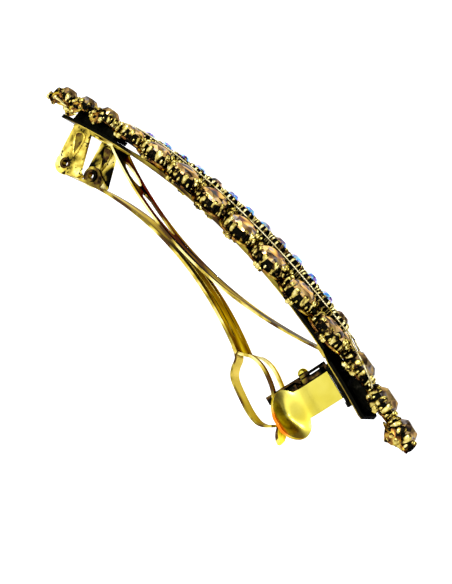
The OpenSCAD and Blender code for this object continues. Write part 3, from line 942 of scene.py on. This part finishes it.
def cut_stone(length, width, floor, girdle_h, crown):
    """Points and faces of an oval stone: pointed back, girdle, two tiers of facets and a flat table."""
    facets = 8
    points = [(0, 0, floor)]

    def ring(count, grow, height, shift):
        start = len(points)
        for i in range(count):
            angle = 2 * math.pi * (i + shift) / count
            points.append((length / 2 * grow * math.cos(angle) + jitter(0.04),
                           width / 2 * grow * math.sin(angle) + jitter(0.04), height + jitter(0.02)))
        return [start + i for i in range(count)]

    low = ring(2 * facets, 0.99, girdle_h - 0.2, 0)
    girdle = ring(2 * facets, 1.0, girdle_h, 0)
    star = ring(facets, 0.82, girdle_h + (crown - girdle_h) * 0.55, 0.5)
    table = ring(facets, 0.56, crown, 1.0)
    faces = []
    for i in range(2 * facets):
        k = (i + 1) % (2 * facets)
        faces.append((0, low[k], low[i]))
        faces.append((low[i], low[k], girdle[k], girdle[i]))
    for i in range(facets):
        k = (i + 1) % facets
        a, b, c = girdle[2 * i], girdle[2 * i + 1], girdle[(2 * i + 2) % (2 * facets)]
        faces += [(a, b, star[i]), (b, c, star[i]), (c, star[k], star[i])]
        faces += [(star[i], star[k], table[i]), (table[i], star[k], table[k])]
    faces.append(tuple(table))
    return points, faces


def set_stone(node, material, slot, place, cut):
    """Puts a cut stone in the place of a plain CAD one."""
    piece = Piece(node + "_cut", material, slot)
    piece.add(*cut, place)
    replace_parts(piece.finish(smooth=False), node)


def set_stones():
    """Cuts and sets every stone; the last of the small round ones is brown."""
    for side, label in ((-1, "near"), (1, "far")):
        for k in range(1, ROW_COUNT + 1):
            cut = cut_stone(STONE_LEN, STONE_W, STONE_FLOOR, STONE_GIRDLE, STONE_CROWN)
            place = at_row(row_x(k), side)
            set_stone(f"{label}_stone_{k:02d}", CHAMPAGNE, "champagne_glass", place, cut)
    for k, (x, h, length) in enumerate(zip(TAIL_X, TAIL_H, TAIL_LEN), 1):
        cut = cut_stone(length, length * TAIL_SLIM, STONE_FLOOR, STONE_GIRDLE, TAIL_CROWN)
        set_stone(f"tail_stone_{k}", DARK_CHAMPAGNE, "champagne_glass", on_deco(x, 0, h), cut)
    for k in range(1, MID_COUNT + 1):
        cut = cut_stone(MID_CUT, MID_CUT, MID_FLOOR, MID_GIRDLE, MID_CROWN)
        glass = PEARL if k < MID_COUNT else DARK_CHAMPAGNE
        set_stone(f"middle_stone_{k:02d}", glass, "pearl_glass", on_deco(mid_x(k), 0, mid_h(k)), cut)


def pad_edges(z):
    """Left and right edge of the release lever's sheet at a height: wall, shoulders or oval pad."""
    if z > PAD_Z + PAD_HALF_H:
        return -WALL_HALF, WALL_HALF
    off = min(1, abs(z - PAD_Z) / PAD_HALF_H)
    half = PAD_HALF_LEN * math.sqrt(1 - off * off) ** 0.9
    slant = 1.5 * max(0, (PAD_Z - z) / PAD_HALF_H) ** 2
    left, right = PAD_X - half + slant, PAD_X + half
    if z > PAD_Z + 0.7 * PAD_HALF_H:
        return min(left, -WALL_HALF), max(right, WALL_HALF)
    return left, right


def pad_hollow(x, z):
    """Depth of the dish pressed into the finger pad."""
    return 1.25 * math.exp(-((x - PAD_X + 0.2) / 2.6) ** 2 - ((z - PAD_Z + 0.2) / 1.15) ** 2)


def make_release_pad():
    """Wall, neck and dished finger pad of the release lever in one smooth sheet."""
    profile = ((-4.8, -0.62), (-4.8, -3), (-4.85, -5.2), (-5.3, -6.6), (-6.4, -8.0), (-7.9, -9.25),
               (-9.35, -10.2))
    path = spline([(0, y, z) for y, z in profile], 10)
    columns = 24
    points, faces = [], []
    for i, here in enumerate(path):
        ahead = (path[min(i + 1, len(path) - 1)] - path[max(i - 1, 0)]).normalized()
        outward = Vector((0, ahead.z, -ahead.y))
        left, right = pad_edges(here.z)
        for j in range(columns + 1):
            x = left + (right - left) * j / columns
            points.append(here + Vector((x, 0, 0)) - outward * pad_hollow(x, here.z))
    for i in range(len(path) - 1):
        for j in range(columns):
            a, b = i * (columns + 1) + j, (i + 1) * (columns + 1) + j
            faces.append((a, a + 1, b + 1, b))
    sheet = Piece("release_pad", POLISHED, "bright_gold")
    sheet.add(points, faces, CATCH)
    pad = sheet.finish("release")
    shell = pad.modifiers.new("thickness", "SOLIDIFY")
    shell.thickness = WALL_T * MM
    shell.offset = 0
    bevel = pad.modifiers.new("round_edge", "BEVEL")
    bevel.width = 0.12 * MM
    bevel.segments = 2
    bevel.angle_limit = math.radians(50)
    smooth = pad.modifiers.new("subdivide", "SUBSURF")
    smooth.levels = 1
    smooth.render_levels = 1
    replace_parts(pad, "release_lever")


def slab(top, foot, y0, y1):
    """A flat bar from one level to another, each given as its two edges and its height."""
    points = [(x, y, z) for a, b, z in (top, foot) for x, y in ((a, y0), (b, y0), (b, y1), (a, y1))]
    faces = [(0, 1, 2, 3)[::-1], (4, 5, 6, 7)]
    faces += [(i, (i + 1) % 4, 4 + (i + 1) % 4, 4 + i)[::-1] for i in range(4)]
    return points, faces


def make_release_leg():
    """The dark latch leg behind the release lever, and the strap that ties it to the lever's wall."""
    leg = Piece("release_leg", LEG, "bright_gold")
    strands = (((-4.7, -4.3, -1.4), (-4.7, -4.3, -6.0)), ((-4.05, -3.3, -1.4), (-4.05, -3.3, -6.0)))
    foot = ((-4.7, -3.3, -5.7), (-4.9, -3.5, -12.3))
    head = ((-4.7, -3.3, -1.0), (-4.7, -3.3, -2.2))
    for top, bottom in (*strands, foot, head):
        leg.add(*slab(top, bottom, -1.65, -1.25), CATCH)
    across = ((-3.7, -3.3, -6), (-3.7, -3.3, -8))
    leg.add(*slab(*across, -5.0, -1.3), CATCH)
    on_wall = ((-3.7, -2.3, -6), (-3.7, -2.3, -8))
    leg.add(*slab(*on_wall, -5.0, -4.6), CATCH)
    leg.finish("release", smooth=False)


def make_ear_ribs():
    """Raised drop shapes stamped in both faces of both hinge ears, with a darker middle."""
    rib = Piece("ear_ribs", EARS, "bracket_gold")
    well = Piece("ear_wells", LEG, "bracket_gold")
    stops = ((1.15, 1.8), (0.55, 2.7), (0.0, 3.8), (-0.55, 5.0), (-0.7, 5.8), (-0.1, 6.25), (0.9, 6.2),
             (1.45, 5.5), (1.5, 4.3), (1.35, 3.0), (1.15, 1.8))
    proud = 0.03
    ear_out = EAR_SPAN / 2
    ear_in = ear_out - EAR_T
    for y, facing in ((-ear_out, -1), (-ear_in, 1), (ear_in, -1), (ear_out, 1)):
        path = spline([(x, y, z) for x, z in stops], 3)[:-1]
        radii = [0.24 + 0.05 * math.sin(i) for i in range(len(path))]
        rib.add(*tube(path, radii, closed=True), HINGE)
        centre = sum(path, Vector()) / len(path)
        out = Vector((0, facing * proud, 0))
        fan = [(0, 1 + i, 1 + (i + 1) % len(path)) for i in range(len(path))]
        well.add([centre + out] + [p + out for p in path], fan, HINGE)
    rib.finish()
    well.finish()


def make_tip(label, x, heading, length):
    """Plump petals and beads under the last stone of a tail, in place of the flat leaves.

    The beads are given as share of the long petal's length, y, height and radius.
    """
    leaves = Piece(label + "_petals", LEAF, "antique_gold")
    base = on_deco(x, 0, PLATE_TOP - 0.7) @ turn("Z", math.radians(heading))
    leaves.add(*petal(length, 1.15, 0.5), base)
    for side in (-1, 1):
        sideways = base @ move(-1.1, 0.9 * side, 0) @ turn("Z", math.radians(62 * side))
        leaves.add(*petal(3.6, 0.95, 0.45), sideways)
    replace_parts(leaves.finish(subdivide=1), label + "_leaves")
    knobs = Piece(label + "_tip_beads", CLAW, "antique_gold")
    beads = ((0.95, 0.0, 0.35, 0.62), (0.85, 0.75, 0.2, 0.5), (0.85, -0.75, 0.2, 0.55),
             (0.9, -0.4, 0.85, 0.5), (0.88, 0.45, 0.9, 0.45), (0.6, -1.5, 0.4, 0.5),
             (0.6, 1.5, 0.4, 0.5), (0.35, -1.9, 0.35, 0.45), (0.35, 1.9, 0.35, 0.45))
    for away, y, h, radius in beads:
        knobs.add(*ball(radius), base @ move(away * (length - 0.6), y, h))
    knobs.finish(subdivide=1)


make_row_trim(-1, "near")
make_row_trim(1, "far")
make_tail_trim()
make_middle_trim()
make_wires(-1, "near")
make_wires(1, "far")
set_stones()
make_release_pad()
make_release_leg()
make_ear_ribs()
make_tip("hinge", -43.6, 180, 5.3)
make_tip("catch", 43.9, 0, 3.8)

# ---------- floor, sky and light ----------

# Even light on all but mirror rays, and the mirrored sky's brightness from its foot to its top
EVEN_LIGHT = 1.6
SKY = ((0.0, 0.9), (0.15, 0.06), (0.3, 0.05), (0.38, 1.4), (0.5, 1.6), (0.66, 1.7),
       (0.73, 2.2), (0.8, 2.1), (0.92, 0.45), (1.0, 0.2))


def white_floor():
    """Matt white."""
    look = Look("white_floor", metallic=0, roughness=0.9)
    tone = look.ramp(look.noise(3), ((0.3, (0.93, 0.93, 0.93)), (0.7, (0.95, 0.95, 0.95))))
    look.link(tone, "Base Color")
    return look.mat


def make_floor():
    """A pale round floor, low enough for the opened arm to swing clear of it."""
    sides = 48
    mesh = bpy.data.meshes.new("floor")
    rim = []
    for i in range(sides):
        angle = 2 * math.pi * i / sides
        rim.append(Vector((FLOOR_R * math.cos(angle), FLOOR_R * math.sin(angle), -FLOOR_DROP)) * MM)
    mesh.from_pydata(rim, [], [tuple(range(sides))])
    mesh.materials.append(white_floor())
    obj = bpy.data.objects.new("floor", mesh)
    bpy.context.collection.objects.link(obj)


def make_world():
    """Even white light for the scene, with a banded sky for the metal to mirror."""
    world = bpy.data.worlds.new("studio")
    bpy.context.scene.world = world
    world.use_nodes = True
    tree = world.node_tree
    tree.nodes.clear()

    def math_node(kind, *values):
        made = tree.nodes.new("ShaderNodeMath")
        made.operation = kind
        for socket, value in zip(made.inputs, values):
            if isinstance(value, bpy.types.NodeSocket):
                tree.links.new(value, socket)
            else:
                socket.default_value = value
        return made.outputs[0]

    coords = tree.nodes.new("ShaderNodeTexCoord")
    split = tree.nodes.new("ShaderNodeSeparateXYZ")
    tree.links.new(coords.outputs["Generated"], split.inputs[0])
    bands = tree.nodes.new("ShaderNodeValToRGB")
    fill_ramp(bands.color_ramp, [(place, (level, level, level)) for place, level in SKY])
    warp = tree.nodes.new("ShaderNodeTexNoise")
    warp.inputs["Scale"].default_value = 1.3
    tree.links.new(coords.outputs["Generated"], warp.inputs["Vector"])
    height = math_node("MULTIPLY_ADD", split.outputs["Z"], 0.5, 0.25)
    tree.links.new(math_node("MULTIPLY_ADD", warp.outputs["Fac"], 0.5, height), bands.inputs["Fac"])
    path = tree.nodes.new("ShaderNodeLightPath")
    pick = tree.nodes.new("ShaderNodeMix")
    pick.data_type = "RGBA"
    pick.inputs[MIX_FIRST].default_value = (EVEN_LIGHT, EVEN_LIGHT, EVEN_LIGHT, 1)
    tree.links.new(path.outputs["Is Glossy Ray"], pick.inputs[MIX_FACTOR])
    tree.links.new(bands.outputs["Color"], pick.inputs[MIX_SECOND])
    sky = tree.nodes.new("ShaderNodeBackground")
    tree.links.new(pick.outputs[MIX_RESULT], sky.inputs["Color"])
    out = tree.nodes.new("ShaderNodeOutputWorld")
    tree.links.new(sky.outputs[0], out.inputs["Surface"])


def soft_light(name, place, aim, size, power):
    """A square lamp at a place, aimed at a point, its power in watts."""
    data = bpy.data.lights.new(name, "AREA")
    data.size = size * MM
    data.energy = power
    lamp = bpy.data.objects.new(name, data)
    lamp.location = Vector(place) * MM
    lamp.rotation_mode = "QUATERNION"
    lamp.rotation_quaternion = (Vector(aim) - Vector(place)).to_track_quat("-Z", "Y")
    bpy.context.collection.objects.link(lamp)


make_floor()
make_world()
soft_light("key", (-250, -300, 350), (0, 0, 10), 120, 0.8)
soft_light("rim", (300, 250, 300), (0, 0, 10), 100, 0.5)
soft_light("glint", (20, -220, 210), (30, -6, 0), 50, 0.2)
bpy.context.scene.view_settings.view_transform = "Standard"
